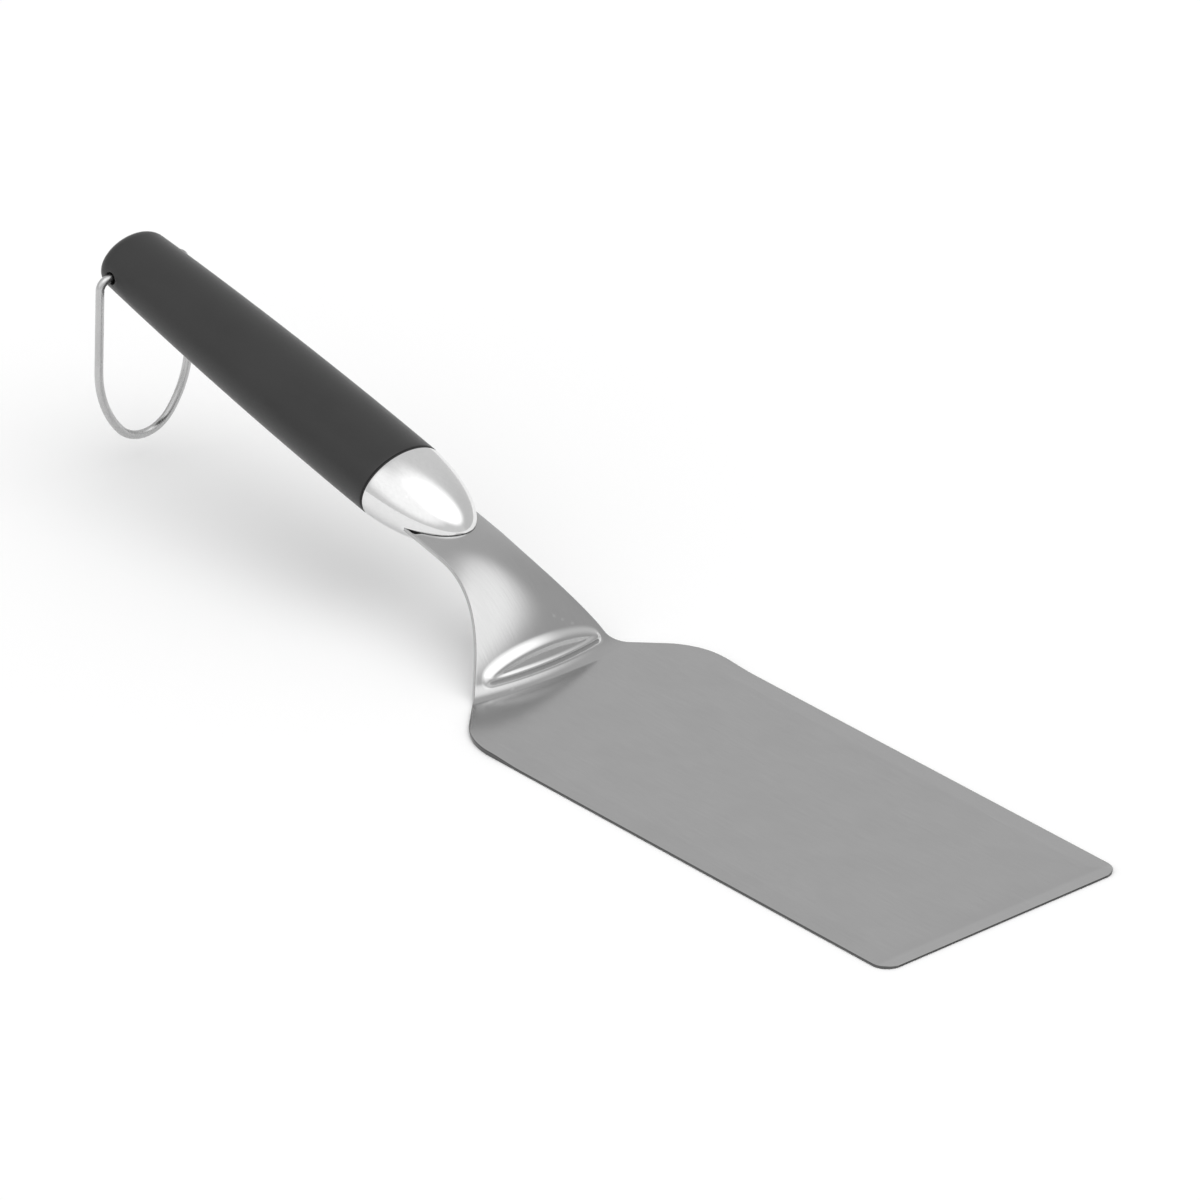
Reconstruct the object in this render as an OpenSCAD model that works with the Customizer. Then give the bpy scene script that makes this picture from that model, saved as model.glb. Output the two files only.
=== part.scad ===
// Griddle turner: a long flat blade and bent neck in one steel sheet, a polished
// oval bolster, a soft oval grip on a two-part core, and a swinging wire hanging loop.
// The blade's flat underside lies on z = 0. +X points to the front edge of the blade,
// +Y across it, and the origin is the middle of the flat underside.

/* [Blade] */
// Width across the straight sides
blade_w = 95; // [80:1:120]
// Length of the flat part, from the start of the heel bend to the front edge
blade_flat = 205; // [150:1:240]
// Thickness of the steel sheet
sheet_t = 1.5; // [1.2:0.1:2]
// Thickness left at the ground edge
edge_t = 0.8; // [0.5:0.1:1]
// Width of the ground bevel along both sides and the front
bevel_w = 7.5; // [4:0.5:10]
// Radius of the two front corners
corner_r = 6; // [3:0.5:10]
// Radius of the rounded rear shoulders
shoulder_r = 25.4; // [22:0.2:34]
// Distance from the heel bend to where the sides run straight
shoulder_back = 25.4; // [22:0.2:34]

/* [Neck] */
// Width of the neck where it enters the bolster
neck_w = 25.2; // [22:0.2:26.4]
// Radius of the flare between neck and shoulder, seen from above
flare_r = 39.7; // [32:0.1:48]
// Steepest angle of the flare's outline, seen from above
flare_angle = 45.2; // [44:0.1:54]
// Bend radius at the heel, to the middle of the sheet
heel_bend_r = 6.8; // [4:0.1:8]
// Slope of the riser behind the heel bend
riser_angle = 62.8; // [52:0.1:68]
// Length of the straight riser between the two bends
riser_len = 1.8; // [1:0.1:12]
// Radius of the long bend from the riser into the handle's line
neck_bend_r = 47.8; // [34:0.1:52]
// Straight run of the neck from that bend to the bolster's rear edge
neck_run = 33.05; // [30:0.05:46]

/* [Stiffening bead] */
// Height of the pressed bead above the riser
bead_h = 1; // [0.6:0.1:1.4]
// Radius of the bead's face, seen from the side
bead_r = 12; // [10:0.5:14]
// Length of the bead across the neck
bead_len = 48; // [40:1:50]
// Distance of the bead's middle above the foot of the riser
bead_up = 3.2; // [2:0.1:4]

/* [Handle] */
// Downward slope of the handle towards the blade
handle_tilt = 12.4; // [9:0.2:16]
// Height of the handle's axis above the middle of the sheet
axis_rise = 2.4; // [1.6:0.1:3]
// Width of the oval handle at the joint of bolster and grip
joint_w = 32.4; // [31:0.2:36]
// Height of the oval as a share of its width
oval_ratio = 0.755; // [0.72:0.005:0.85]
// Length of the grip from that joint to the butt
grip_len = 137; // [125:1:160]
// Width of the grip at half its length
grip_mid_w = 31.1; // [29:0.2:34]
// Width that the grip's sides would have at the butt without its rounding
grip_butt_w = 25.2; // [24:0.2:30]
// Length of the butt's rounding
butt_round = 5.5; // [4.5:0.5:8]
// Squareness of the butt's rounding, 2 being an ellipse
butt_power = 2.9; // [2:0.1:4]
// Wall of the soft sleeve
sleeve_wall = 2.4; // [2:0.1:3]
// Chamfer at the sleeve's front edge
sleeve_ease = 0.4; // [0.2:0.1:0.6]

/* [Bolster] */
// Length from the joint to the tip of the nose
nose_len = 31.7; // [29:0.1:34]
// Distance behind the joint where the nose's ellipse would be widest
nose_back = 6.4; // [4:0.1:9]
// Wall of the drawn shell
shell_wall = 1; // [0.8:0.1:1.2]
// Gap left around the sheet where it leaves the shell
slot_gap = 0.4; // [0.3:0.05:0.6]
// Length of the core's spigot inside the shell
spigot_len = 20; // [14:1:22]
// Thickness of the sealing ring between bolster and grip
ring_t = 0.8; // [0.6:0.1:1.2]
// Depth of the ring's outside below the neighbouring surfaces
ring_recess = 0.3; // [0.2:0.05:0.4]

/* [Tang] */
// Width of the tang inside the core
tang_w = 16; // [12:1:18]
// Length of the tang behind the joint
tang_len = 92; // [84:1:100]
// Radius of the inner corners where the neck narrows to the tang
tang_step_r = 3; // [2:0.5:4]
// Diameter of the tang pins
pin_d = 4; // [3:0.5:5]
// Number of tang pins
pin_count = 3; // [2:1:3]
// Distance of the first pin behind the joint
pin_first = 16; // [12:1:20]
// Distance of the last pin from the end of the tang
pin_last = 16; // [12:1:20]
// Reach of a pin to either side of the sheet's middle
pin_reach = 6; // [5:0.5:6.5]

/* [Hanging loop] */
// Diameter of the loop's wire
wire_d = 2.8; // [2.4:0.1:3.2]
// Distance of the loop's pivot from the butt
loop_from_butt = 8.4; // [8:0.1:10]
// Greatest half width of the loop, to the middle of the wire
loop_half_w = 18.3; // [17.8:0.1:20]
// Drop from the pivot to the middle of the lowest wire
loop_drop = 58.5; // [52:0.5:62]
// Height of the rounded lower part, up to the widest place
loop_round_h = 26.5; // [24:0.5:30]
// Radius of the loop's bottom
loop_bottom_r = 13.5; // [11:0.5:15]
// Inward lean of the legs towards the pivot
loop_lean = 2.2; // [0:0.1:2.6]
// Bend radius where a leg turns into its arm
loop_corner_r = 3.2; // [2.6:0.1:3.4]
// Distance between the inner ends of the two arms
arm_gap = 10; // [8:0.5:12]
// Diameter of the hole in the sleeve around the wire
sleeve_hole_d = 4.2; // [3.8:0.1:5]

/* [Fits] */
// Clearance between pieces that are put together once
fit = 0.1; // [0.05:0.01:0.15]
// Radial clearance of the wire and the pins in their bores
bore_fit = 0.05; // [0.03:0.01:0.08]

/* [Hidden] */
$fn = 72;

steel = "#a3a3a5";
polished = "#cfd0d2";
soft_black = "#3c3c3e";
hard_black = "#222224";

ring_n = 48;         // points round an oval section
arc_steps = 14;      // flats along an arc of an outline
over = 1;            // how far a cutting shape passes the surface it cuts
far = 400;           // a length that reaches past the whole object
body_steps = 9;      // sections along the grip's long sides
round_steps = 7;     // sections along the butt's rounding
round_last = 84;     // angle at which the rounding ends in a small flat
nose_steps = 11;     // sections along the nose
nose_last = 85;      // angle at which the nose ends in a small flat
bead_toe = 64.5;       // angle of the bead's lower end, 90 being the riser's normal
bead_head = 119.5;   // angle of the bead's upper end
bead_n = 240;        // flats round a whole turn of the bead's face
ball_proud = 0.03;   // how far a joining ball stands outside the wire

// Side view of the neck, along the middle of the sheet
heel = [-blade_flat / 2, sheet_t / 2];
riser_foot = heel + heel_bend_r * [-sin(riser_angle), 1 - cos(riser_angle)];
riser_top = riser_foot + riser_len * [-cos(riser_angle), sin(riser_angle)];
neck_bend_c = riser_top - neck_bend_r * [sin(riser_angle), cos(riser_angle)];
neck_top = neck_bend_c + neck_bend_r * [sin(handle_tilt), cos(handle_tilt)];

// The handle's frame: its origin is on the axis at the joint, x to the nose
joint = neck_top + neck_run * [-cos(handle_tilt), sin(handle_tilt)]
    + axis_rise * [sin(handle_tilt), cos(handle_tilt)];
pivot_s = grip_len - loop_from_butt;
pivot = joint + pivot_s * [-cos(handle_tilt), sin(handle_tilt)];

// Distance from one tang pin to the next
pin_pitch = (tang_len - pin_first - pin_last) / (pin_count - 1);

// Distance of the core's spigot inside the nose's outer surface
spigot_inset = shell_wall + fit;

// The loop in its own plane, [y, z] from the pivot. It hangs straight down
side_r = (pow(loop_round_h, 2) + pow(loop_half_w, 2) - 2 * loop_round_h * loop_bottom_r)
    / (2 * (loop_half_w - loop_bottom_r));
side_c = [loop_half_w - side_r, loop_round_h - loop_drop];
bottom_c = [0, loop_bottom_r - loop_drop];
blend_angle = atan2(bottom_c[1] - side_c[1], bottom_c[0] - side_c[0]);
leg_foot = side_c + side_r * [cos(loop_lean), sin(loop_lean)];
leg_len = (loop_corner_r * (sin(loop_lean) - 1) - leg_foot[1]) / cos(loop_lean);
leg_head = leg_foot + leg_len * [-sin(loop_lean), cos(loop_lean)];
corner_c = leg_head - loop_corner_r * [cos(loop_lean), sin(loop_lean)];

// Outline of the sheet seen from above, upper half
side_y = blade_w / 2;
front_x = blade_flat / 2;
shoulder_c = [heel[0] + shoulder_back, side_y - shoulder_r];
shoulder_foot = shoulder_c + shoulder_r * [-sin(flare_angle), cos(flare_angle)];
flare_end_y = neck_w / 2 + flare_r * (1 - cos(flare_angle));
flare_end_x = shoulder_foot[0] - (shoulder_foot[1] - flare_end_y) / tan(flare_angle);
flare_start_x = flare_end_x - flare_r * sin(flare_angle);
tang_step_x = joint[0] + ring_t;
tang_end_x = joint[0] - tang_len * cos(handle_tilt);

// Sections of the handle. s is the distance behind the joint, x the distance in front
function side_half(s) =
    let (u = s / grip_len)
    joint_w / 2 * (2 * u * u - 3 * u + 1)
    + grip_mid_w / 2 * (4 * u - 4 * u * u)
    + grip_butt_w / 2 * (2 * u * u - u);
function rounding(s, len, round) =
    s <= len - round ? 1 : pow(1 - pow((s - len + round) / round, butt_power), 1 / butt_power);
// One section of the grip, drawn in by an inset on every side
function grip_station(s, inset) =
    let (k = rounding(s, grip_len - inset, butt_round - inset))
    [-s, (side_half(s) - inset) * k, (oval_ratio * side_half(s) - inset) * k];
function grip_stations(s0, inset) =
    let (s1 = grip_len - butt_round)
    concat(
        [for (i = [round_steps:-1:1])
            grip_station(s1 + (butt_round - inset) * sin(round_last * i / round_steps), inset)],
        [for (i = [body_steps:-1:0]) grip_station(s0 + (s1 - s0) * i / body_steps, inset)]);

// The sleeve's chamfered front section, and the cavity's mouth in front of it
function front_face(ease) =
    let (st = grip_station(ring_t, 0)) [st[0], st[1] - ease, st[2] - ease];
function open_front(inset) =
    let (st = grip_station(ring_t, inset)) [st[0] + over, st[1], st[2]];

// One section of the nose, an ellipsoid whose widest place lies behind the joint
function nose_station(x, inset) =
    let (
        reach = nose_len + nose_back - inset,
        at_joint = sqrt(1 - pow(nose_back / reach, 2)),
        k = sqrt(1 - pow((x + nose_back) / reach, 2)) / at_joint)
    [x, (joint_w / 2 - inset) * k, (oval_ratio * joint_w / 2 - inset) * k];
function nose_stations(x0, inset) =
    let (
        reach = nose_len + nose_back - inset,
        a0 = asin((x0 + nose_back) / reach))
    [for (i = [0:nose_steps])
        nose_station(reach * sin(a0 + (nose_last - a0) * i / nose_steps) - nose_back, inset)];

// A solid through oval sections [x, half width, half height], x rising
module loft(stations) {
    last = len(stations) - 1;
    points = [for (st = stations) for (i = [0:ring_n - 1])
        [st[0], st[1] * cos(360 * i / ring_n), st[2] * sin(360 * i / ring_n)]];
    sides = [for (k = [0:last - 1]) for (i = [0:ring_n - 1])
        let (j = (i + 1) % ring_n, a = k * ring_n, b = a + ring_n)
        for (tri = [[a + i, b + i, b + j], [a + i, b + j, a + j]]) tri];
    rear = [for (i = [0:ring_n - 1]) i];
    front = [for (i = [ring_n - 1:-1:0]) last * ring_n + i];
    polyhedron(points = points, faces = concat([rear], sides, [front]), convexity = 4);
}

// Children drawn in the handle's frame
module in_handle() {
    translate([joint[0], 0, joint[1]]) rotate([0, handle_tilt, 0]) children();
}

// Everything below the sheet's middle line raised by rise, in the side view
module below_sheet(rise) {
    up_handle = rise * [sin(handle_tilt), cos(handle_tilt)];
    up_riser = rise * [sin(riser_angle), cos(riser_angle)];
    tang_end = neck_top + (neck_run + tang_len) * [-cos(handle_tilt), sin(handle_tilt)];
    difference() {
        polygon([
            [front_x, -far],
            [front_x, sheet_t / 2 + rise],
            heel + [0, rise],
            riser_foot + up_riser,
            riser_top + up_riser,
            neck_top + up_handle,
            tang_end + up_handle,
            [tang_end[0] + up_handle[0], -far]]);
        translate(heel + [0, heel_bend_r]) circle(heel_bend_r - rise);
    }
    translate(neck_bend_c) circle(neck_bend_r + rise);
}

// The sheet in its bent shape, as wide as the blade all along
module bent_sheet() {
    translate([0, side_y, 0]) rotate([90, 0, 0]) linear_extrude(blade_w) difference() {
        below_sheet(sheet_t / 2);
        below_sheet(-sheet_t / 2);
    }
}

// Points of an arc about c from angle a0 to a1, both ends included
function arc(c, r, a0, a1) =
    [for (i = [0:arc_steps]) let (a = a0 + (a1 - a0) * i / arc_steps) c + r * [cos(a), sin(a)]];

// Outline of the blade, neck and tang, seen from above
module sheet_outline() {
    half = concat(
        [[tang_end_x, tang_w / 2]],
        arc([tang_step_x - tang_step_r, tang_w / 2 + tang_step_r], tang_step_r, -90, 0),
        [[tang_step_x, neck_w / 2]],
        arc([flare_start_x, neck_w / 2 + flare_r], flare_r, -90, flare_angle - 90),
        arc(shoulder_c, shoulder_r, flare_angle + 90, 90),
        arc([front_x - corner_r, side_y - corner_r], corner_r, 90, 0));
    last = len(half) - 1;
    polygon(concat(half, [for (i = [last:-1:0]) [half[i][0], -half[i][1]]]));
}

// The pressed bead's barrel: a round face about an axis across the neck, lower by
// bead_h at the ends of the bead. thick is the radial depth of the piece, and it
// reaches from angle a0 to a1 about the riser's front normal
module bead_barrel(face_r, thick, a0, a1) {
    half = bead_len / 2;
    crown_r = (half * half + bead_h * bead_h) / (2 * bead_h);
    crown_angle = asin(half / crown_r);
    translate([riser_foot[0], 0, riser_foot[1]]) rotate([0, riser_angle, 0])
        translate([-bead_up, 0, sheet_t / 2 + bead_h - bead_r])
            rotate([90, 0, 0]) rotate([0, 0, a0])
                rotate_extrude(angle = a1 - a0, $fn = bead_n) polygon(concat(
                    [[face_r - thick, half], [face_r - thick, -half]],
                    arc([face_r - crown_r, 0], crown_r, -crown_angle, crown_angle)));
}
// A wedge over the ground bevel of the edge at distance reach, which runs along local z
module bevel_wedge(reach, len) {
    fall = (sheet_t - edge_t) / bevel_w;
    linear_extrude(len) polygon([
        [reach - bevel_w, sheet_t],
        [reach + over, edge_t - fall * over],
        [reach + over, sheet_t + over],
        [reach - bevel_w, sheet_t + over]]);
}

// Positions of the tang pins along the handle
module at_pins() {
    for (i = [0:pin_count - 1])
        translate([-pin_first - i * pin_pitch, 0, -axis_rise]) children();
}

module turner_head() {
    color(steel) difference() {
        union() {
            intersection() {
                bent_sheet();
                translate([0, 0, -over]) linear_extrude(far) sheet_outline();
            }
            bead_barrel(bead_r, sheet_t, bead_toe, bead_head);
        }
        bead_barrel(bead_r - sheet_t, sheet_t, bead_toe, bead_head);
        // ground bevels of both sides and of the front
        for (flip = [0, 1]) mirror([0, flip, 0])
            translate([shoulder_c[0], 0, 0]) rotate([90, 0, 90]) bevel_wedge(side_y, far);
        translate([0, far / 2, 0]) rotate([90, 0, 0]) bevel_wedge(front_x, far);
        // pin holes
        in_handle() at_pins() cylinder(r = pin_d / 2 + bore_fit, h = far, center = true);
    }
}

module bolster_shell() {
    color(polished) in_handle() difference() {
        loft(nose_stations(0, 0));
        loft(nose_stations(-ring_t, shell_wall));
        translate([0, -neck_w / 2 - slot_gap, -axis_rise - sheet_t / 2 - slot_gap])
            cube([nose_len + over, neck_w + 2 * slot_gap, sheet_t + 2 * slot_gap]);
    }
}

module joint_ring() {
    inner = nose_station(0, shell_wall);
    outer = grip_station(0, ring_recess);
    color(hard_black) in_handle() difference() {
        loft([[-ring_t, outer[1], outer[2]], [0, outer[1], outer[2]]]);
        loft([[-ring_t - over, inner[1], inner[2]], [over, inner[1], inner[2]]]);
    }
}

// The core's whole body: its rear part fills the sleeve, its spigot the shell
module core_body() {
    spigot = nose_station(0, spigot_inset);
    loft(grip_stations(ring_t, sleeve_wall + fit));
    difference() {
        loft(concat([[-ring_t, spigot[1], spigot[2]]], nose_stations(0, spigot_inset)));
        translate([spigot_len, -far / 2, -far / 2]) cube(far);
    }
}

// The space that the sheet and the loop's arms take in the core
module core_cuts() {
    slot_h = sheet_t + 2 * fit;
    translate([-tang_len - fit, -tang_w / 2 - fit, -axis_rise - slot_h / 2])
        cube([tang_len + over, tang_w + 2 * fit, slot_h]);
    translate([-tang_step_r, -neck_w / 2 - fit, -axis_rise - slot_h / 2])
        cube([nose_len, neck_w + 2 * fit, slot_h]);
    for (side = [-1, 1])
        translate([-pivot_s, side * (arm_gap / 2 - over), 0])
            rotate([-90 * side, 0, 0]) cylinder(r = wire_d / 2 + bore_fit, h = joint_w);
    at_pins() cylinder(r = pin_d / 2 + bore_fit, h = 2 * (pin_reach + fit), center = true);
}

// Half of the core on one side of the middle of the sheet: +1 above, -1 below
module core_half(side) {
    color(hard_black) in_handle() difference() {
        intersection() {
            core_body();
            translate([-far / 2, -far / 2, side > 0 ? -axis_rise : -axis_rise - far]) cube(far);
        }
        core_cuts();
    }
}

module core_upper() {
    core_half(1);
}

module core_lower() {
    core_half(-1);
}

module tang_pins() {
    color(steel) in_handle() at_pins() cylinder(d = pin_d, h = 2 * pin_reach, center = true);
}

module grip_sleeve() {
    color(soft_black) in_handle() difference() {
        loft(concat(grip_stations(ring_t + sleeve_ease, 0), [front_face(sleeve_ease)]));
        loft(concat(grip_stations(ring_t, sleeve_wall), [open_front(sleeve_wall)]));
        translate([-pivot_s, 0, 0]) rotate([90, 0, 0])
            cylinder(d = sleeve_hole_d, h = joint_w, center = true);
    }
}

// Arc of the loop's wire about c in the plane of the loop
module wire_arc(c, r, a0, a1) {
    translate([0, c[0], c[1]]) rotate([90, 0, 90]) rotate([0, 0, a0])
        rotate_extrude(angle = a1 - a0) translate([r, 0]) circle(d = wire_d);
}

// A ball that joins two stretches of wire, standing ball_proud outside the wire
module wire_ball(p) {
    translate([0, p[0], p[1]]) sphere(d = wire_d + 2 * ball_proud);
}

// One side of the loop: arm, corner, leg and side arc
module half_loop() {
    wire_ball(side_c + side_r * [cos(blend_angle), sin(blend_angle)]);
    wire_arc(side_c, side_r, blend_angle, loop_lean);
    wire_ball(leg_foot);
    translate([0, leg_foot[0], leg_foot[1]]) rotate([loop_lean, 0, 0])
        cylinder(d = wire_d, h = leg_len);
    wire_ball(leg_head);
    wire_arc(corner_c, loop_corner_r, loop_lean, 90);
    wire_ball([corner_c[0], 0]);
    translate([0, arm_gap / 2, 0]) rotate([-90, 0, 0])
        cylinder(d = wire_d, h = corner_c[0] - arm_gap / 2);
}

module hanging_loop() {
    color(polished) translate([pivot[0], 0, pivot[1]]) {
        wire_arc(bottom_c, loop_bottom_r, -180 - blend_angle, blend_angle);
        half_loop();
        mirror([0, 1, 0]) half_loop();
    }
}

turner_head();
bolster_shell();
joint_ring();
core_upper();
core_lower();
tang_pins();
grip_sleeve();
hanging_loop();
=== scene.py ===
import math

import bmesh
import bpy
import numpy as np
from mathutils import Matrix, Vector


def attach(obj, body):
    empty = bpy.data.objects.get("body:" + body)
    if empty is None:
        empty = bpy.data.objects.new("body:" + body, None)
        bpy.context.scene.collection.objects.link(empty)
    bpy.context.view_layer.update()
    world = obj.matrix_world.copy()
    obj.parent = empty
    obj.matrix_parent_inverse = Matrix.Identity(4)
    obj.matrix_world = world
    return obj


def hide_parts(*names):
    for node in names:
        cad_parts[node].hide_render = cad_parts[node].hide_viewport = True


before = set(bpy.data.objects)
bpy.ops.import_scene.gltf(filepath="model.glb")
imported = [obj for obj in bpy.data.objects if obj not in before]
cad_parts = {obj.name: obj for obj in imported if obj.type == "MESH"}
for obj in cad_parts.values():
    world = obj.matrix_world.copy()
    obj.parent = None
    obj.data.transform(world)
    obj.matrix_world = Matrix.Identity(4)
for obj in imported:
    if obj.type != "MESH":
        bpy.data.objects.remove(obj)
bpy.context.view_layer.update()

# ---------------------------------------------------------------- sizes, in millimetres and degrees
# blade: one sheet with ground bevels on its sides and front
BLADE_W, BLADE_FLAT, SHEET_T, EDGE_T, BEVEL_W = 95.0, 205.0, 1.5, 0.8, 7.5
BEVEL_RUN_IN = 14.0                            # length over which the side bevels start
BEVEL_RUB, RUB_FROM, RUB_OVER = 0.14, 5.0, 2.0  # rubbing near the front edge, as a share of the bead rim's painted highlight
CORNER_R, SHOULDER_R, SHOULDER_BACK = 6.0, 25.4, 25.4
RIM_R = 0.26                                   # rounding of the sheet's rims
THIN_SHARE = 0.2                               # least thickness of a bevel, as a share of the edge's

# neck, and the arch across it that fades inside the bolster and in front of the heel
NECK_W, FLARE_R, FLARE_ANGLE = 25.2, 39.7, 45.2
HEEL_R, RISER_ANGLE, RISER_LEN, NECK_R, NECK_RUN = 6.8, 62.8, 1.8, 47.8, 33.05
TILT, AXIS_RISE = 12.4, 2.4
CROWN, FLAT_FROM, FLAT_OVER, ARCH_RUN_OUT = 2.8, 20.0, 2.5, 20.0

# pressed bead on the riser, and the dish in it
BEAD_H, BEAD_HALF, BEAD_TOP, BEAD_FOOT, BEAD_LOWER_W, BEAD_UPPER_W = 1.2, 24.5, 8.6, 2.8, 3.2, 3.8
DISH_DEPTH, DISH_LOW, DISH_LOW_W, DISH_RIM, DISH_UP_W = 0.5, 0.1, 1.3, 3.0, 3.0

# grip, bolster, ring and tang
JOINT_W, OVAL, GRIP_LEN, MID_W, BUTT_W = 32.4, 0.755, 137.0, 31.1, 25.2
BUTT_ROUND, BUTT_POWER, SLEEVE_WALL, SLEEVE_LIP_R = 5.5, 2.9, 2.4, 0.45
NOSE_LEN, NOSE_BACK, SHELL_WALL, SLOT_GAP, SHELL_LIP_R, SHELL_EDGE_W = 31.7, 6.4, 1.0, 0.3, 0.35, 0.22
RING_T, RING_RECESS, RING_CHAMFER = 0.8, 0.3, 0.1
TANG_W, TANG_LEN, TANG_STEP_R = 16.0, 92.0, 3.0

# hanging loop and its holes in the sleeve
WIRE_D, WIRE_END_R, LOOP_FROM_BUTT, LOOP_HALF_W, LOOP_DROP = 2.8, 0.3, 8.4, 18.3, 58.5
LOOP_ROUND_H, LOOP_BOTTOM_R, LOOP_LEAN, LOOP_CORNER_R, ARM_GAP = 26.5, 13.5, 2.2, 3.2, 10.0
SLEEVE_HOLE_D, HOLE_FLARE, CUT_PAST = 4.2, 0.35, 2.0

WELD = 0.001       # points closer than this are one point
MM = 0.001         # the frame is in metres
OVAL_N, WIRE_N, HOLE_N = 128, 32, 48           # points round the handle, the wire and a hole

sin, cos, rad = math.sin, math.cos, math.radians
FRONT_X, SIDE_Y = BLADE_FLAT / 2, BLADE_W / 2


# ---------------------------------------------------------------- side view of the sheet
def normal(slope):
    """Unit vector square to the sheet, upwards, where it climbs backwards at slope."""
    return np.array([sin(slope), cos(slope)])


def backward(slope):
    """Unit vector along the sheet, backwards, where it climbs at slope."""
    return np.array([-cos(slope), sin(slope)])


# heel, riser, neck bend and the handle's axis, as [x, z]
RISER, SLANT = rad(RISER_ANGLE), rad(TILT)
heel = np.array([-FRONT_X, SHEET_T / 2])
foot = heel + HEEL_R * (np.array([0.0, 1.0]) - normal(RISER))
top = foot + RISER_LEN * backward(RISER)
neck_c = top - NECK_R * normal(RISER)
along, upward = backward(SLANT), normal(SLANT)
neck_top = neck_c + NECK_R * upward
joint = neck_top + NECK_RUN * along + AXIS_RISE * upward
pivot = joint + (GRIP_LEN - LOOP_FROM_BUTT) * along

# lengths along the sheet, from the heel bend's start backwards
L_HEEL = HEEL_R * rad(RISER_ANGLE)
L_RISER = L_HEEL + RISER_LEN
L_NECK = L_RISER + NECK_R * rad(RISER_ANGLE - TILT)
L_JOINT = L_NECK + NECK_RUN
L_END = L_JOINT + TANG_LEN


def path(s):
    """Point of the sheet's edges, slope, and shift per mm of arch, s mm behind the heel bend's start."""
    level = np.array([1 / sin(RISER), 0.0])
    if s <= 0:
        return heel + np.array([-s, 0.0]), 0.0, level * max(0.0, 1 + s / ARCH_RUN_OUT)
    if s <= L_HEEL:
        a = s / HEEL_R
        return heel + HEEL_R * (np.array([0.0, 1.0]) - normal(a)), a, level
    if s <= L_RISER:
        u = (s - L_HEEL) / RISER_LEN
        shift = level + u / math.tan(RISER) * backward(RISER)
        return foot + u * RISER_LEN * backward(RISER), RISER, shift
    if s <= L_NECK:
        a = RISER - (s - L_RISER) / NECK_R
        return neck_c + NECK_R * normal(a), a, normal(a)
    return neck_top + (s - L_NECK) * along, SLANT, upward


def ease(u):
    """Smooth step from 0 to 1."""
    u = min(1.0, max(0.0, u))
    return u * u * (3 - 2 * u)


def arch(y, half):
    """Height of the arched sheet above its edges at y, half being its half width."""
    r = (half * half + CROWN * CROWN) / (2 * CROWN)
    return math.sqrt(r * r - y * y) - r + CROWN


# ---------------------------------------------------------------- top view of the sheet
def arc(c, r, a0, a1, n):
    """n points of a circle about c, from a0 to a1 degrees."""
    return [(c[0] + r * cos(rad(a)), c[1] + r * sin(rad(a))) for a in np.linspace(a0, a1, n)]


def outline():
    """Half width of the sheet against x, from the tang's step to the front edge."""
    angle = rad(FLARE_ANGLE)
    shoulder_c = (heel[0] + SHOULDER_BACK, SIDE_Y - SHOULDER_R)
    shoulder_x = shoulder_c[0] - SHOULDER_R * sin(angle)
    shoulder_y = shoulder_c[1] + SHOULDER_R * cos(angle)
    end_y = NECK_W / 2 + FLARE_R * (1 - cos(angle))
    end_x = shoulder_x - (shoulder_y - end_y) / math.tan(angle)
    start_x = end_x - FLARE_R * sin(angle)
    pts = [(joint[0] + RING_T, NECK_W / 2)]
    pts += arc((start_x, NECK_W / 2 + FLARE_R), FLARE_R, -90, FLARE_ANGLE - 90, 40)
    pts += arc(shoulder_c, SHOULDER_R, FLARE_ANGLE + 90, 90, 40)
    pts += arc((FRONT_X - CORNER_R, SIDE_Y - CORNER_R), CORNER_R, 90, 0, 60)
    return np.array(pts)


OUTLINE = outline()
X_STRAIGHT = heel[0] + SHOULDER_BACK           # where the blade reaches its full width


def half_width(x):
    """Half width of the sheet at x, with the tang behind its rounded step."""
    step = joint[0] + RING_T
    if x < step - TANG_STEP_R:
        return TANG_W / 2
    if x < step:
        d = x - (step - TANG_STEP_R)
        return TANG_W / 2 + TANG_STEP_R - math.sqrt(max(TANG_STEP_R**2 - d * d, 0.0))
    return float(np.interp(x, OUTLINE[:, 0], OUTLINE[:, 1]))


# ---------------------------------------------------------------- mesh helpers
def mesh_object(name, verts, faces):
    """Smooth-shaded object from points in millimetres."""
    mesh = bpy.data.meshes.new(name)
    mesh.from_pydata([tuple(v) for v in np.asarray(verts, float) * MM], [], faces)
    mesh.validate()
    mesh.shade_smooth()
    obj = bpy.data.objects.new(name, mesh)
    bpy.context.scene.collection.objects.link(obj)
    return obj


def grid_faces(rows, cols):
    """Quads between closed rows of equal length."""
    faces = []
    for i in range(rows - 1):
        for j in range(cols):
            k = (j + 1) % cols
            a, b = i * cols, (i + 1) * cols
            faces.append((a + j, a + k, b + k, b + j))
    return faces


def tube_faces(rows, cols):
    """Quads between closed rows, and one face across each end."""
    last = (rows - 1) * cols
    return grid_faces(rows, cols) + [tuple(range(cols - 1, -1, -1)), tuple(range(last, last + cols))]


def merge(obj, dist):
    """Joins points closer than dist mm and turns all faces outwards."""
    bm = bmesh.new()
    bm.from_mesh(obj.data)
    bmesh.ops.remove_doubles(bm, verts=bm.verts, dist=dist * MM)
    bmesh.ops.recalc_face_normals(bm, faces=bm.faces)
    bm.to_mesh(obj.data)
    bm.free()
    obj.data.shade_smooth()


# ---------------------------------------------------------------- turner head
# a rim's two quarter rounds, from the upper face to the lower one: degrees, and which face it springs from
RIM = [(a, 1) for a in (75, 50, 25, 0)] + [(a, -1) for a in (0, -25, -50, -75)]


def rim_fall(d):
    """How far a rim's rounding lies below the face, d mm from the edge."""
    return 0.0 if d >= RIM_R else RIM_R - math.sqrt(RIM_R**2 - (RIM_R - d) ** 2)


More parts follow.
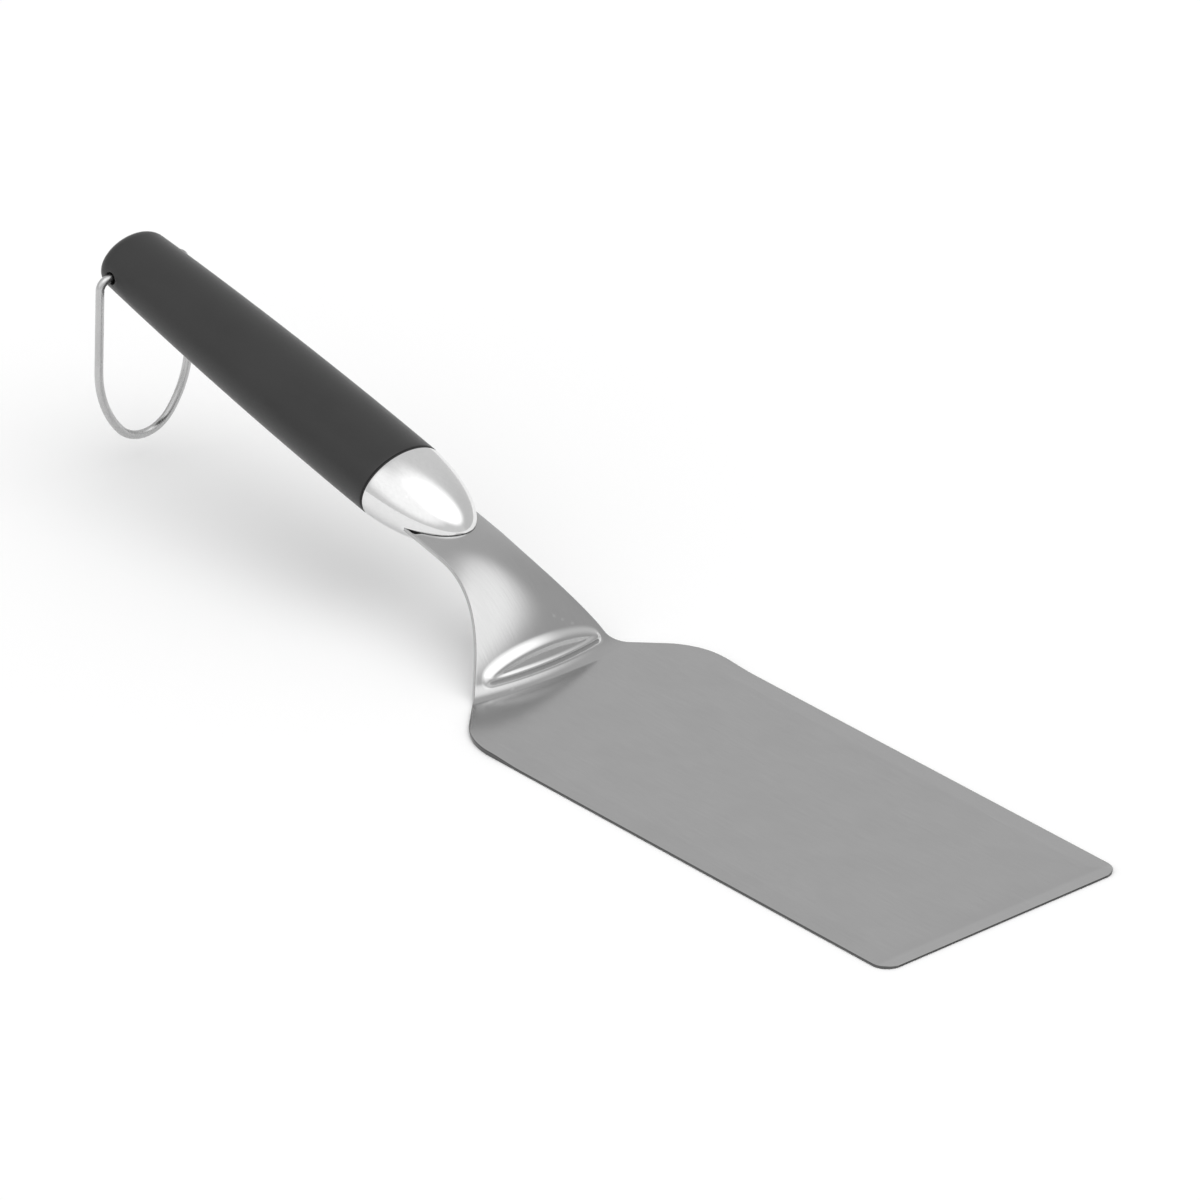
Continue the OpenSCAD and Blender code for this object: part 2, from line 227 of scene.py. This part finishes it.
def bead(s, y, lift):
    """Height of the pressed bead, a raised oval with a shallow dish, and the share of painted highlight on
    its rim.
    """
    share = 1 - (y / BEAD_HALF) ** 2
    if share <= 0 or s < 0:
        return 0.0, 0.0
    up = s - L_HEEL + lift / math.tan(RISER) * min(1.0, max(0.0, (s - L_HEEL) / RISER_LEN))
    crest = BEAD_TOP * math.sqrt(share)
    raised = ease((up + BEAD_FOOT) / BEAD_LOWER_W) * ease((crest - up) / BEAD_UPPER_W)
    dish = ease((up - DISH_LOW) / DISH_LOW_W) * ease((crest - DISH_RIM - up) / DISH_UP_W)
    # painted highlight: the bead's flanks and the dish's lower flank are made lighter in colour
    # 4 x (1 - x) is 1 in the middle of a flank and 0 at its foot and top
    painted_highlight_and_rub = 4 * max(raised * (1 - raised), 0.8 * dish * (1 - dish) if up < DISH_LOW + DISH_LOW_W else 0.0)
    return ease(4 * share) * (BEAD_H * raised - DISH_DEPTH * dish), ease(6 * share) * min(1.0, painted_highlight_and_rub)


def top_offset(x, y):
    """Height of the blade's upper face above the middle of the sheet, with its ground bevels."""
    fall = (SHEET_T - EDGE_T) / BEVEL_W
    side = ease((x - X_STRAIGHT) / BEVEL_RUN_IN) * max(0.0, abs(y) - (SIDE_Y - BEVEL_W)) * fall
    front = max(0.0, x - (FRONT_X - BEVEL_W)) * fall
    return SHEET_T - max(side, front) - SHEET_T / 2


def head_stations():
    """Places of the sheet's rows along it, from the front edge to the tang's end, close where it changes."""
    fine, bend, straight, bare = 0.3, 0.8, 0.7, 4.0    # steps on bevel and bead, neck bend, neck, bare blade
    xs = [FRONT_X - CORNER_R * (1 - cos(rad(a))) for a in np.linspace(0, 90, 31)]
    xs += list(np.arange(xs[-1] - fine, FRONT_X - BEVEL_W - fine, -fine))
    xs += list(np.arange(FRONT_X - 12, X_STRAIGHT + 3, -bare))
    xs += list(np.linspace(X_STRAIGHT + 2.8, X_STRAIGHT, 12))
    xs += list(np.linspace(X_STRAIGHT - 1, heel[0] + 1, 24))
    stations = [-(x - heel[0]) for x in xs]
    past_bead = L_RISER + 9
    stations += list(np.arange(0, past_bead, fine)) + list(np.arange(past_bead + fine, L_NECK, bend))
    stations += list(np.arange(L_NECK, L_JOINT - 4, straight))
    step = L_JOINT - RING_T / cos(rad(TILT))
    stations += [step + d for d in (-0.05, 0.02, 0.5, 1.0, 2.0, 3.2)]
    return stations + list(np.linspace(step + 8, L_END, 8))


def head_row(s):
    """One closed row round the sheet at station s: points, UVs, shares of painted highlight and rubbing, and
    marks of painted edge shade.
    """
    p, slope, shift = path(s)
    w, n = half_width(p[0]), normal(slope)
    fade = ease((L_JOINT - s - FLAT_FROM) / FLAT_OVER)
    on_blade = p[0] > heel[0]
    to_front = FRONT_X - p[0]
    fall = rim_fall(to_front)
    w_in = SIDE_Y - BEVEL_W if p[0] >= X_STRAIGHT else w * (SIDE_Y - BEVEL_W) / SIDE_Y
    half = list(np.linspace(0, w_in, 45)) + list(np.linspace(w_in, w - RIM_R, 13))[1:]
    ys = [-y for y in half[:0:-1]] + half
    tops = [top_offset(p[0], y) if on_blade else SHEET_T / 2 for y in ys]
    tops = [max(t, -SHEET_T / 2 + EDGE_T * THIN_SHARE) - fall for t in tops]
    low = -SHEET_T / 2 + fall

    def lift(y):
        return fade * arch(min(abs(y), w), max(w, NECK_W / 2))

    def point(y, off):
        q = p + lift(y) * shift + n * (off + bead(s, y, lift(y))[0])
        return (q[0], y, q[1])

    def painted_highlight_and_rub(y):
        """Painted highlight on the bead's rim, and rubbing a little along the front edge."""
        return max(BEVEL_RUB * ease((RUB_FROM - to_front) / RUB_OVER), bead(s, y, lift(y))[1])

    def rim(side, steps):
        face_z = {1: tops[-1 if side > 0 else 0] - RIM_R, -1: low + RIM_R}
        return [(side * (w - RIM_R + RIM_R * cos(rad(a))), face_z[face] + RIM_R * sin(rad(a)))
                for a, face in steps]

    # upper face, one rim, lower face, other rim; the rims' UVs lie 1 mm outside the faces'
    parts = ((list(zip(ys, tops)), 0), (rim(1, RIM), 1),
             ([(y, low) for y in ys[::-1]], 0), (rim(-1, RIM[::-1]), -1))
    row = [point(y, off) for part, _ in parts for y, off in part]
    uv = [(s, y + out) for part, out in parts for y, _ in part]
    painted_highlight_and_rub_shares = [painted_highlight_and_rub(y) for y in ys] + [0.0] * (len(row) - len(ys))
    # painted shade: marks the blade's rims and the front edge's last row to be darkened
    cut = ([float(to_front < 0.1)] * len(ys) + [float(on_blade)] * len(RIM)) * 2
    return row, uv, painted_highlight_and_rub_shares, cut


def head_mesh():
    """The whole sheet, with a UV layer along it and the shares that the steel's material reads."""
    rows, uvs, painted_highlight_and_rub_shares, painted_edge_shade_marks = zip(*(head_row(s) for s in head_stations()))
    cols = len(rows[0])
    faces = grid_faces(len(rows), cols)
    n_top = cols // 2 - len(RIM)
    # caps of both ends: the columns of the upper face against those of the lower one
    for i, flip in ((0, False), (len(rows) - 1, True)):
        ring = list(range(i * cols, (i + 1) * cols))
        upper = [ring[k % cols] for k in range(-4, n_top + 4)]
        lower = [ring[k] for k in range(cols - 5, n_top + 3, -1)]
        for k in range(len(upper) - 1):
            quad = (upper[k], upper[k + 1], lower[k + 1], lower[k])
            faces.append(quad[::-1] if flip else quad)
    obj = mesh_object("head_sheet", [v for row in rows for v in row], faces)
    layer = obj.data.uv_layers.new(name="along_sheet")
    flat = [t for uv in uvs for t in uv]
    for loop in obj.data.loops:
        s, y = flat[loop.vertex_index]
        layer.data[loop.index].uv = (s * 0.01, y * 0.01)
    # carries the painted highlight (with rubbing near the front) and the painted edge shade to the steel's
    # material
    for key, shares in (("painted_highlight_and_rub", painted_highlight_and_rub_shares), ("painted_edge_shade", painted_edge_shade_marks)):
        values = [v for row in shares for v in row]
        obj.data.attributes.new(key, "FLOAT", "POINT").data.foreach_set("value", values)
    return obj


# ---------------------------------------------------------------- handle
def in_handle(points):
    """Points of the handle's frame, x to the nose, in the part's frame."""
    p = np.asarray(points, float)
    c, s = cos(rad(TILT)), sin(rad(TILT))
    return np.stack([joint[0] + p[:, 0] * c + p[:, 2] * s, p[:, 1], joint[1] - p[:, 0] * s + p[:, 2] * c], 1)


def side_half(s):
    """Half width of the grip, s mm behind the joint: a parabola through joint, middle and butt."""
    u = s / GRIP_LEN
    joint_share, mid_share, butt_share = 2 * u * u - 3 * u + 1, 4 * u - 4 * u * u, 2 * u * u - u
    return JOINT_W / 2 * joint_share + MID_W / 2 * mid_share + BUTT_W / 2 * butt_share


def grip_section(s, inset):
    """Half axes of the grip's oval at s, inset mm under its surface."""
    start, length = GRIP_LEN - BUTT_ROUND, BUTT_ROUND - inset
    q = max(0.0, (s - start) / length)
    k = max(0.0, 1 - q**BUTT_POWER) ** (1 / BUTT_POWER)
    return (side_half(s) - inset) * k, (OVAL * side_half(s) - inset) * k


def nose_section(x):
    """Half axes of the bolster's oval, x mm in front of the joint."""
    reach = NOSE_LEN + NOSE_BACK
    at_joint = math.sqrt(1 - (NOSE_BACK / reach) ** 2)
    k = math.sqrt(max(0.0, 1 - ((x + NOSE_BACK) / reach) ** 2)) / at_joint
    return JOINT_W / 2 * k, OVAL * JOINT_W / 2 * k


def oval_loft(stations):
    """Points of ovals given as (x, half width, half height)."""
    return [(x, a * cos(t), b * sin(t)) for x, a, b in stations
            for t in np.linspace(0, 2 * math.pi, OVAL_N, endpoint=False)]


def grip_mesh():
    """The soft sleeve as a closed shell with a rounded lip at the joint."""

    def stations(s0, inset):
        start, length = GRIP_LEN - BUTT_ROUND, BUTT_ROUND - inset
        ss = list(np.linspace(s0, start, 70))
        ss += [start + length * sin(rad(a)) for a in np.linspace(3, 89.5, 30)]
        return [(-s, *grip_section(s, inset)) for s in ss]

    outer = stations(RING_T + SLEEVE_LIP_R, 0)
    a, b = grip_section(RING_T, 0)
    lip = []
    for t in np.linspace(math.pi / 2, 0, 6, endpoint=False):
        back, drop = SLEEVE_LIP_R * (1 - sin(t)), SLEEVE_LIP_R * (1 - cos(t))
        lip.append((-RING_T - back, a - drop, b - drop))
    inner = stations(RING_T, SLEEVE_WALL)
    rows = inner[::-1] + lip + outer
    faces = [f[::-1] for f in tube_faces(len(rows), OVAL_N)]
    return mesh_object("grip_soft_sleeve", in_handle(oval_loft(rows)), faces)


def bore(obj):
    """Cuts the round, flared holes for the wire's arms through both sides of the sleeve."""
    a, _ = grip_section(GRIP_LEN - LOOP_FROM_BUTT, 0)
    r = SLEEVE_HOLE_D / 2
    wide = r + HOLE_FLARE + CUT_PAST
    rows = [(-a - CUT_PAST, wide), (-a + HOLE_FLARE, r), (a - HOLE_FLARE, r), (a + CUT_PAST, wide)]
    verts = [(pivot[0] + rr * cos(t), y, pivot[1] + rr * sin(t)) for y, rr in rows
             for t in np.linspace(0, 2 * math.pi, HOLE_N, endpoint=False)]
    cutter = mesh_object("hole_cutter", verts, tube_faces(len(rows), HOLE_N))
    merge(cutter, WELD)
    cut = obj.modifiers.new("holes", "BOOLEAN")
    cut.object, cut.operation, cut.solver = cutter, "DIFFERENCE", "EXACT"
    bpy.context.view_layer.update()
    dg = bpy.context.evaluated_depsgraph_get()
    mesh = bpy.data.meshes.new_from_object(obj.evaluated_get(dg))
    obj.modifiers.clear()
    obj.data = mesh
    bpy.data.objects.remove(cutter)


def ring_mesh():
    """The thin ring between bolster and grip, chamfered outside."""
    inner_a, inner_b = (v - SHELL_WALL for v in nose_section(0))
    a, b = grip_section(0, RING_RECESS)
    cut_a, cut_b = a - RING_CHAMFER, b - RING_CHAMFER
    rows = [(0, inner_a, inner_b), (0, cut_a, cut_b), (-RING_CHAMFER, a, b), (-RING_T + RING_CHAMFER, a, b),
            (-RING_T, cut_a, cut_b), (-RING_T, inner_a, inner_b)]
    last = (len(rows) - 1) * OVAL_N
    faces = grid_faces(len(rows), OVAL_N)
    faces += [(last + j, last + (j + 1) % OVAL_N, (j + 1) % OVAL_N, j) for j in range(OVAL_N)]
    return mesh_object("joint_seal_ring", in_handle(oval_loft(rows)), faces)


# ---------------------------------------------------------------- bolster
def rim_z(y, side):
    """Height of the slot's upper (+1) or lower (-1) rim in the handle's frame."""
    reach = NECK_W / 2 + SLOT_GAP
    return arch(min(abs(y), reach), NECK_W / 2) - AXIS_RISE + side * (SHEET_T / 2 + SLOT_GAP)


def rim_angle(x, side):
    """Angle round the nose's section at x where its surface meets a rim of the slot, by halving."""
    a, b = nose_section(x)
    lo, hi = -math.pi / 2, (math.pi / 2 if side > 0 else 0.0)
    for _ in range(50):
        mid = (lo + hi) / 2
        if b * sin(mid) < rim_z(a * cos(mid), side):
            lo = mid
        else:
            hi = mid
    return (lo + hi) / 2


def slot_start():
    """Where the nose becomes narrower than the slot, so that the sheet stands out of it."""
    xs = np.linspace(8, 24, 1601)
    wide = [nose_section(x)[0] * cos(rim_angle(x, 1)) > NECK_W / 2 + SLOT_GAP for x in xs]
    return float(xs[wide.index(False)])


def nose_end(z):
    """Where the half height of the nose has fallen to z."""
    reach = NOSE_LEN + NOSE_BACK
    at_joint = math.sqrt(1 - (NOSE_BACK / reach) ** 2)
    return reach * math.sqrt(1 - (z / (OVAL * JOINT_W / 2) * at_joint) ** 2) - NOSE_BACK


def bolster_mesh():
    """The oval nose: closed rings back of the slot, then a hood above and a jaw below the sheet."""
    reach, r = NOSE_LEN + NOSE_BACK, SHELL_LIP_R
    slot_x = slot_start()
    a_slot = math.asin((slot_x + NOSE_BACK) / reach)
    n_up, n_low, n_side = 97, 65, 4            # points of the hood, the jaw and the slot's ends
    t_up, t_low = rim_angle(slot_x, 1), rim_angle(slot_x, -1)
    ts = list(np.linspace(t_up, math.pi - t_up, n_up))
    ts += list(np.linspace(math.pi - t_up, math.pi - t_low, n_side + 2))[1:-1]
    ts += list(np.linspace(math.pi - t_low, 2 * math.pi + t_low, n_low))
    ts += list(np.linspace(2 * math.pi + t_low, 2 * math.pi + t_up, n_side + 2))[1:-1]

    lip = [r * (1 - cos(rad(a))) for a in (0, 22, 45, 68)]
    rings = [(x, r - math.sqrt(max(r * r - (r - x) ** 2, 0))) for x in lip]
    a_lip = math.asin((r + NOSE_BACK) / reach)
    rings += [(reach * sin(a) - NOSE_BACK, 0.0) for a in np.linspace(a_lip, a_slot, 20)]
    verts = []
    for x, inset in rings:
        a, b = (v - inset for v in nose_section(x))
        verts += [(x, a * cos(t), b * sin(t)) for t in ts]
    faces = grid_faces(len(rings), len(ts))
    last = (len(rings) - 1) * len(ts)

    # hood and jaw: from the last ring's upper and lower points to just short of where each runs out
    for side, first, count in ((1, last, n_up), (-1, last + n_up + n_side, n_low)):
        prev = list(range(first, first + count))
        a_end = math.asin((nose_end(abs(rim_z(0, side))) + NOSE_BACK) / reach)
        for f in np.sin(np.linspace(0, math.pi / 2, 40))[1:]:
            x = reach * sin(a_slot + (a_end - a_slot) * f * 0.9995) - NOSE_BACK
            a, b = nose_section(x)
            t = rim_angle(x, side)
            span = (t, math.pi - t) if side > 0 else (math.pi - t, 2 * math.pi + t)
            now = list(range(len(verts), len(verts) + count))
            verts += [(x, a * cos(q), b * sin(q)) for q in np.linspace(*span, count)]
            faces += [(prev[j], prev[j + 1], now[j + 1], now[j]) for j in range(count - 1)]
            prev = now
    obj = mesh_object("bolster_polished", in_handle(verts), [f[::-1] for f in faces])
    merge(obj, 0.02)
    solid = obj.modifiers.new("wall", "SOLIDIFY")
    solid.thickness, solid.offset, solid.use_even_offset = SHELL_WALL * MM, -1.0, True
    edge = obj.modifiers.new("lip", "BEVEL")
    edge.width, edge.segments, edge.limit_method, edge.angle_limit = SHELL_EDGE_W * MM, 3, "ANGLE", rad(50)
    return obj


# ---------------------------------------------------------------- hanging loop
def loop_path():
    """Middle of the loop's wire from one arm's inner end to the other's, [y, z] from the pivot."""
    rise = LOOP_ROUND_H**2 + LOOP_HALF_W**2 - 2 * LOOP_ROUND_H * LOOP_BOTTOM_R
    side_r = rise / (2 * (LOOP_HALF_W - LOOP_BOTTOM_R))
    side_c = np.array([LOOP_HALF_W - side_r, LOOP_ROUND_H - LOOP_DROP])
    bottom_c = np.array([0, LOOP_BOTTOM_R - LOOP_DROP])
    blend = math.degrees(math.atan2(bottom_c[1] - side_c[1], bottom_c[0] - side_c[0]))
    lean = rad(LOOP_LEAN)
    leg_foot = side_c + side_r * np.array([cos(lean), sin(lean)])
    leg_len = (LOOP_CORNER_R * (sin(lean) - 1) - leg_foot[1]) / cos(lean)
    leg_head = leg_foot + leg_len * np.array([-sin(lean), cos(lean)])
    corner_c = leg_head - LOOP_CORNER_R * np.array([cos(lean), sin(lean)])
    half = arc(bottom_c, LOOP_BOTTOM_R, -90, blend, 25)
    half += arc(side_c, side_r, blend, LOOP_LEAN, 40)[1:]
    half += [tuple(leg_foot + (leg_head - leg_foot) * t) for t in np.linspace(0, 1, 12)[1:]]
    half += arc(corner_c, LOOP_CORNER_R, LOOP_LEAN, 90, 14)[1:]
    half += [(y, 0.0) for y in np.linspace(corner_c[0], ARM_GAP / 2, 8)[1:]]
    half = np.array(half)
    return np.concatenate([half[::-1] * [-1, 1], half[1:]])


def loop_mesh():
    """Round wire along loop_path, with rounded ends."""
    pts = loop_path()
    tangent = np.gradient(pts, axis=0)
    tangent /= np.linalg.norm(tangent, axis=1)[:, None]
    across = np.stack([-tangent[:, 1], tangent[:, 0]], 1)

    def end(i, out):
        """Rows past one end, from the wire outwards."""
        return [(pts[i] + out * WIRE_END_R * sin(a), across[i], WIRE_D / 2 - WIRE_END_R * (1 - cos(a)))
                for a in np.linspace(0, math.pi / 2, 5)[1:]]

    middle = [(p, m, WIRE_D / 2) for p, m in zip(pts, across)]
    rows = end(0, -tangent[0])[::-1] + middle + end(-1, tangent[-1])
    verts = []
    for p, m, r in rows:
        for a in np.linspace(0, 2 * math.pi, WIRE_N, endpoint=False):
            q = p + m * r * cos(a)
            verts.append((pivot[0] + r * sin(a), q[0], pivot[1] + q[1]))
    return mesh_object("loop_wire", verts, tube_faces(len(rows), WIRE_N))


# ---------------------------------------------------------------- materials
GRAIN_DEPTH = 0.0001       # metres, for every bump


class Look:
    """A material whose shader's sockets get plain values or node networks."""

    def __init__(self, name, **sockets):
        self.mat = bpy.data.materials.new(name)
        self.mat.use_nodes = True
        self.tree = self.mat.node_tree
        self.shader = self.tree.nodes["Principled BSDF"]
        self.put(self.shader, sockets)

    def put(self, node, sockets):
        """Links a socket to another node's output, or sets its plain value."""
        for key, value in sockets.items():
            if isinstance(value, bpy.types.NodeSocket):
                self.tree.links.new(value, node.inputs[key])
            else:
                node.inputs[key].default_value = value

    def add(self, kind, settings=None, **sockets):
        """New node, with its own settings and its sockets."""
        node = self.tree.nodes.new("ShaderNode" + kind)
        for key, value in (settings or {}).items():
            setattr(node, key, value)
        self.put(node, sockets)
        return node

    def coords(self, scale, uv=None, turn=0.0):
        """Coordinates on the piece itself, in metres, or from a UV layer of mm * 0.01."""
        if uv:
            source = self.add("UVMap", {"uv_map": uv}).outputs["UV"]
        else:
            source = self.add("TexCoord").outputs["Object"]
        return self.add("Mapping", Vector=source, Scale=scale, Rotation=(0, 0, turn)).outputs["Vector"]

    def noise(self, vector, detail=3.0, roughness=0.55):
        node = self.add("TexNoise", Vector=vector, Scale=1.0, Detail=detail, Roughness=roughness)
        return node.outputs["Fac"]

    def remap(self, value, lo, hi, a, b):
        """Smoothly from a at lo to b at hi."""
        node = self.add("MapRange", {"interpolation_type": "SMOOTHSTEP"}, Value=value)
        self.put(node, {"From Min": lo, "From Max": hi, "To Min": a, "To Max": b})
        return node.outputs["Result"]

    def calc(self, operation, a, b):
        node = self.add("Math", {"operation": operation})
        self.put(node, {0: a, 1: b})
        return node.outputs["Value"]

    def blend(self, share, a, b):
        """Colour a, turned into b by share."""
        node = self.add("Mix", {"data_type": "RGBA"})
        self.put(node, {0: share, 6: a, 7: b})
        return node.outputs[2]

    def mark(self, name):
        """A point attribute of the mesh."""
        return self.add("Attribute", {"attribute_name": name}).outputs["Fac"]

    def worn(self):
        """1 on the sharp outer rims, 0 elsewhere."""
        return self.remap(self.add("NewGeometry").outputs["Pointiness"], 0.52, 0.6, 0.0, 1.0)

    def bump(self, height, strength):
        node = self.add("Bump", Height=height, Strength=strength, Distance=GRAIN_DEPTH)
        self.put(self.shader, {"Normal": node.outputs["Normal"]})


def grey(value, warm=0.0):
    """Opaque grey, with a little more red and less blue where it is warm."""
    return (value + warm, value, value - warm, 1.0)


def metal(name, value, rough, grain_scale, blotch_scale, uv=None, sheet=False, grain_bump=0.04, contrast=0.07,
          hairline=0.3):
    """Worked metal: fine grain one way, cloudy patches, hairline scratches, worn rims; on a sheet, painted
    highlight and painted edge shade.
    """
    look = Look(name, Metallic=1.0)
    grain = look.noise(look.coords(grain_scale, uv), 5.0, 0.6)
    blotch = look.noise(look.coords(blotch_scale, uv), 4.0)
    line_scale = tuple(g * k for g, k in zip(grain_scale, (0.35, 0.22, 0.35)))
    lines = look.remap(look.noise(look.coords(line_scale, uv, 0.35), 2.0), 0.68, 0.76, 0.0, 1.0)
    tone = look.blend(look.remap(blotch, 0.3, 0.7, 0.0, 1.0),
                      grey(value * (1 - contrast)), grey(value * (1 + contrast)))
    streaks = look.calc("MULTIPLY", look.remap(grain, 0.35, 0.75, 0.0, 1.0), 0.25)
    tone = look.blend(streaks, tone, grey(value * 0.82))
    tone = look.blend(look.calc("MULTIPLY", lines, hairline), tone, grey(min(0.95, value * 1.35)))
    tone = look.blend(look.calc("MULTIPLY", look.worn(), 0.4), tone, grey(min(0.95, value * 1.3)))
    if sheet:
        # painted highlight: the bead's rim lightened in colour, with real rubbing near the front edge
        tone = look.blend(look.calc("MULTIPLY", look.mark("painted_highlight_and_rub"), 0.8), tone, grey(min(0.95, value * 1.7)))
        # painted shade: the sheet's rims on the blade and its front row darkened to near black
        tone = look.blend(look.calc("MULTIPLY", look.mark("painted_edge_shade"), 0.85), tone, grey(0.06))
    spread = look.calc("ADD", look.remap(grain, 0.3, 0.7, rough * 0.85, rough * 1.1),
                       look.remap(blotch, 0.35, 0.7, 0.0, rough * contrast * 4))
    look.put(look.shader, {"Base Color": tone, "Roughness": spread})
    look.bump(look.calc("ADD", grain, look.calc("MULTIPLY", lines, -hairline)), grain_bump)
    return look.mat


def moulded(name, value, rough, grain, cloud, grain_bump, speck=0.5, **sockets):
    """Moulded rubber or plastic: matt grain, cloudy tone, pale dust specks, rubbed rims."""
    look = Look(name, **sockets)
    fine = look.noise(look.coords((grain,) * 3), 3.0)
    coarse = look.noise(look.coords((grain * 0.22,) * 3), 3.0)
    patches = look.noise(look.coords((cloud,) * 3), 4.0)
    flow = look.noise(look.coords((cloud * 0.5, cloud * 5, cloud * 5)), 3.0)
    dust = look.remap(look.noise(look.coords((grain * 0.5,) * 3), 1.0), 0.74, 0.8, 0.0, speck)
    tone = look.blend(look.remap(patches, 0.3, 0.7, 0.0, 1.0), grey(value * 0.84), grey(value * 1.12))
    tone = look.blend(look.remap(flow, 0.45, 0.8, 0.0, 0.35), tone, grey(value * 1.3, value * 0.01))
    tone = look.blend(dust, tone, grey(value * 2.2))
    tone = look.blend(look.calc("MULTIPLY", look.worn(), 0.35), tone, grey(value * 1.7))
    spread = look.calc("ADD", look.remap(patches, 0.3, 0.7, rough * 0.9, rough * 1.08),
                       look.remap(fine, 0.3, 0.7, 0.0, 0.06))
    look.put(look.shader, {"Base Color": tone, "Roughness": spread})
    look.bump(look.calc("ADD", fine, look.calc("MULTIPLY", coarse, 0.8)), grain_bump)
    return look.mat


steel = metal("satin_steel", 0.47, 0.155, (9, 260, 1), (5, 6, 1), uv="along_sheet", sheet=True,
              grain_bump=0.02, contrast=0.016, hairline=0.12)
chrome = metal("polished_steel", 0.80, 0.12, (500, 1800, 900), (45, 60, 60), grain_bump=0.012, contrast=0.025)
wire = metal("drawn_wire", 0.52, 0.24, (1500, 1500, 160), (90, 90, 60), grain_bump=0.05)
pin_steel = metal("turned_pin_steel", 0.45, 0.3, (300, 300, 4000), (200, 200, 200))
grip_mat = moulded("soft_grip", 0.016, 0.43, 2600, 38, 0.22,
                   **{"Sheen Weight": 0.16, "Sheen Roughness": 0.35})
seal_mat = moulded("black_rubber", 0.010, 0.6, 1800, 120, 0.15)
core_mat = moulded("core_plastic", 0.014, 0.42, 900, 60, 0.1, speck=0.2)


# ---------------------------------------------------------------- pieces
def dress(obj, body, node, mat):
    """Puts a piece on its body, in the place of its CAD node and material."""
    obj.data.materials.clear()
    obj.data.materials.append(mat)
    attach(obj, body)
    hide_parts(node)


head, grip, bolster, seal, loop_obj = head_mesh(), grip_mesh(), bolster_mesh(), ring_mesh(), loop_mesh()
for obj in (grip, seal, loop_obj):
    merge(obj, WELD)
bore(grip)
dress(head, "turner", "turner_head", steel)
dress(bolster, "turner", "bolster_shell", chrome)
dress(grip, "turner", "grip_sleeve", grip_mat)
dress(seal, "turner", "joint_ring", seal_mat)
dress(loop_obj, "loop", "hanging_loop", wire)
for node, mat in (("core_upper", core_mat), ("core_lower", core_mat), ("tang_pins", pin_steel)):
    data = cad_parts[node].data
    data.materials.clear()
    data.materials.append(mat)

# ---------------------------------------------------------------- floor, light, camera
WHITE = (1, 1, 1, 1)
FLOOR_HALF = 9.0           # metres
# camera axes and place in metres, as fitted to the photo
CAM_RIGHT, CAM_UP, CAM_BACK = (0.6571, 0.7538, 0.0), (-0.3495, 0.3046, 0.8860), (0.6679, -0.5822, 0.4636)
CAM_PLACE, CAM_LENS = (2.7687, -2.4833, 2.0135), 420.0


def add_floor():
    """Plain pale floor, which takes the object's shadow."""
    h = FLOOR_HALF
    mesh = bpy.data.meshes.new("floor")
    mesh.from_pydata([(-h, -h, 0), (h, -h, 0), (h, h, 0), (-h, h, 0)], [], [(0, 1, 2, 3)])
    floor = bpy.data.objects.new("floor", mesh)
    bpy.context.scene.collection.objects.link(floor)
    paint = Look("floor", **{"Base Color": grey(0.97), "Roughness": 0.9, "Specular IOR Level": 0.0})
    mesh.materials.append(paint.mat)


def add_room():
    """A pale room: a broad soft light above, a weaker one on the near side and a dimmer far side."""
    world = bpy.data.worlds.new("studio")
    bpy.context.scene.world = world
    world.use_nodes = True
    nodes, links = world.node_tree.nodes, world.node_tree.links
    aim = nodes.new("ShaderNodeTexCoord").outputs["Generated"]

    def lobe(towards, edge, core, low, high):
        """Strength that rises smoothly from low to high within edge to core degrees of a direction."""
        dot = nodes.new("ShaderNodeVectorMath")
        dot.operation = "DOT_PRODUCT"
        dot.inputs[1].default_value = Vector(towards).normalized()
        links.new(aim, dot.inputs[0])
        node = nodes.new("ShaderNodeMapRange")
        node.interpolation_type = "SMOOTHERSTEP"
        links.new(dot.outputs["Value"], node.inputs["Value"])
        limits = {"From Min": cos(rad(edge)), "From Max": cos(rad(core)), "To Min": low, "To Max": high}
        for key, value in limits.items():
            node.inputs[key].default_value = value
        return node.outputs["Result"]

    def total(a, b):
        node = nodes.new("ShaderNodeMath")
        node.operation = "ADD"
        links.new(a, node.inputs[0])
        links.new(b, node.inputs[1])
        return node.outputs["Value"]

    above = lobe((0.40, 0.10, 0.91), 44, 2, 0.72, 1.68)
    near = lobe((0.10, -0.66, 0.74), 48, 6, 0.0, 0.48)
    far = lobe((0.35, 0.92, 0.18), 55, 10, 0.0, -0.10)
    light = nodes["Background"]
    light.inputs["Color"].default_value = WHITE
    links.new(total(total(above, near), far), light.inputs["Strength"])

    # the camera itself sees plain white
    seen = nodes.new("ShaderNodeBackground")
    seen.inputs["Color"].default_value = WHITE
    seen.inputs["Strength"].default_value = 1.0
    mix = nodes.new("ShaderNodeMixShader")
    links.new(nodes.new("ShaderNodeLightPath").outputs["Is Camera Ray"], mix.inputs[0])
    links.new(light.outputs[0], mix.inputs[1])
    links.new(seen.outputs[0], mix.inputs[2])
    links.new(mix.outputs[0], nodes["World Output"].inputs["Surface"])


def add_camera():
    """The photo's camera: far away, with a long lens."""
    data = bpy.data.cameras.new("camera")
    data.sensor_width, data.lens = 36.0, CAM_LENS
    data.clip_start, data.clip_end = 0.1, 60.0
    cam = bpy.data.objects.new("camera", data)
    turn = Matrix([[CAM_RIGHT[i], CAM_UP[i], CAM_BACK[i], 0] for i in range(3)] + [[0, 0, 0, 1]])
    cam.matrix_world = Matrix.Translation(CAM_PLACE) @ turn
    bpy.context.scene.collection.objects.link(cam)
    bpy.context.scene.camera = cam


add_floor()
add_room()
add_camera()
bpy.context.scene.view_settings.view_transform = "Standard"
